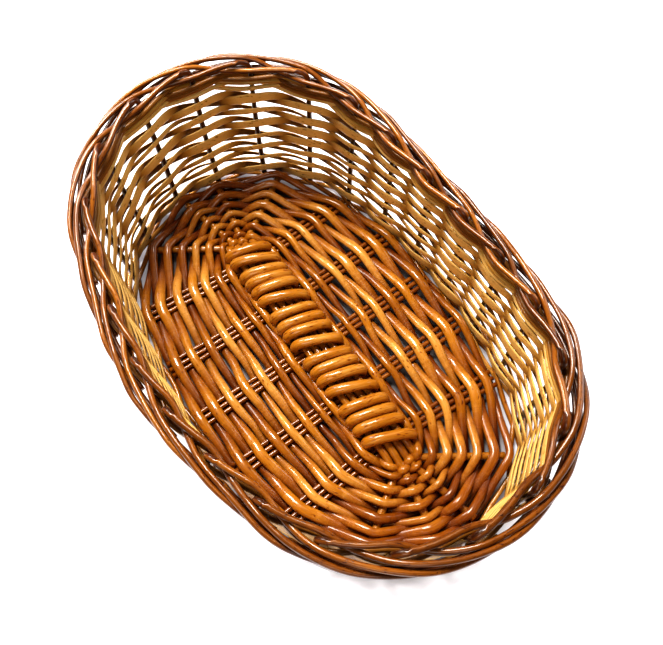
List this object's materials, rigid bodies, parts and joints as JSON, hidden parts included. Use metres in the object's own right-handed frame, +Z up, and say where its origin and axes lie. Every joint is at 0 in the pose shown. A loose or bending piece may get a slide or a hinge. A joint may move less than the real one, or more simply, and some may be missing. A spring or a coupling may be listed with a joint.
{
  "type": "woven wicker basket",
  "caption": "Oval open-topped willow basket with a woven base, a lattice wall of paired split strips and a rolled rod border.",
  "frame": {"origin": "middle of the base, on the surface that the basket stands on", "axes": "+X along the basket's length, +Y across it, +Z up out of its mouth"},
  "size_m": [0.3358, 0.2192, 0.1126],
  "materials": {
    "varnished_base_rod": "gloss varnish over stained willow rod",
    "border_rod": "gloss varnish over stained willow rod",
    "split_strip": "satin split willow, pith side inwards"
  },
  "bodies": {
    "root": {"long_stick_1": "varnished_base_rod", "long_stick_2": "varnished_base_rod", "long_stick_3": "varnished_base_rod", "long_stick_4": "varnished_base_rod", "short_sticks_1": "varnished_base_rod", "short_sticks_2": "varnished_base_rod", "short_sticks_3": "varnished_base_rod", "short_sticks_4": "varnished_base_rod", "short_sticks_5": "varnished_base_rod", "binding_1": "varnished_base_rod", "binding_2": "varnished_base_rod", "binding_3": "varnished_base_rod", "binding_4": "varnished_base_rod", "binding_crossings": "varnished_base_rod", "base_rounds_1": "varnished_base_rod", "base_rounds_2": "varnished_base_rod", "base_rounds_3": "varnished_base_rod", "base_rounds_4": "varnished_base_rod", "base_rounds_5": "varnished_base_rod", "base_rounds_6": "varnished_base_rod", "base_rounds_7": "varnished_base_rod", "stake_01": "border_rod", "stake_02": "border_rod", "stake_03": "border_rod", "stake_04": "border_rod", "stake_05": "border_rod", "stake_06": "border_rod", "stake_07": "border_rod", "stake_08": "border_rod", "stake_09": "border_rod", "stake_10": "border_rod", "stake_11": "border_rod", "stake_12": "border_rod", "stake_13": "border_rod", "stake_14": "border_rod", "stake_15": "border_rod", "stake_16": "border_rod", "stake_17": "border_rod", "stake_18": "border_rod", "stake_19": "border_rod", "stake_20": "border_rod", "stake_21": "border_rod", "stake_22": "border_rod", "stake_23": "border_rod", "stake_24": "border_rod", "top_wale": "border_rod", "foot_wale": "border_rod", "wall_row_1": "split_strip", "wall_row_2": "split_strip", "wall_row_3": "split_strip", "wall_row_4": "split_strip", "wall_row_5": "split_strip", "wall_row_6": "split_strip", "wall_row_7": "split_strip"}
  },
  "joints": []
}
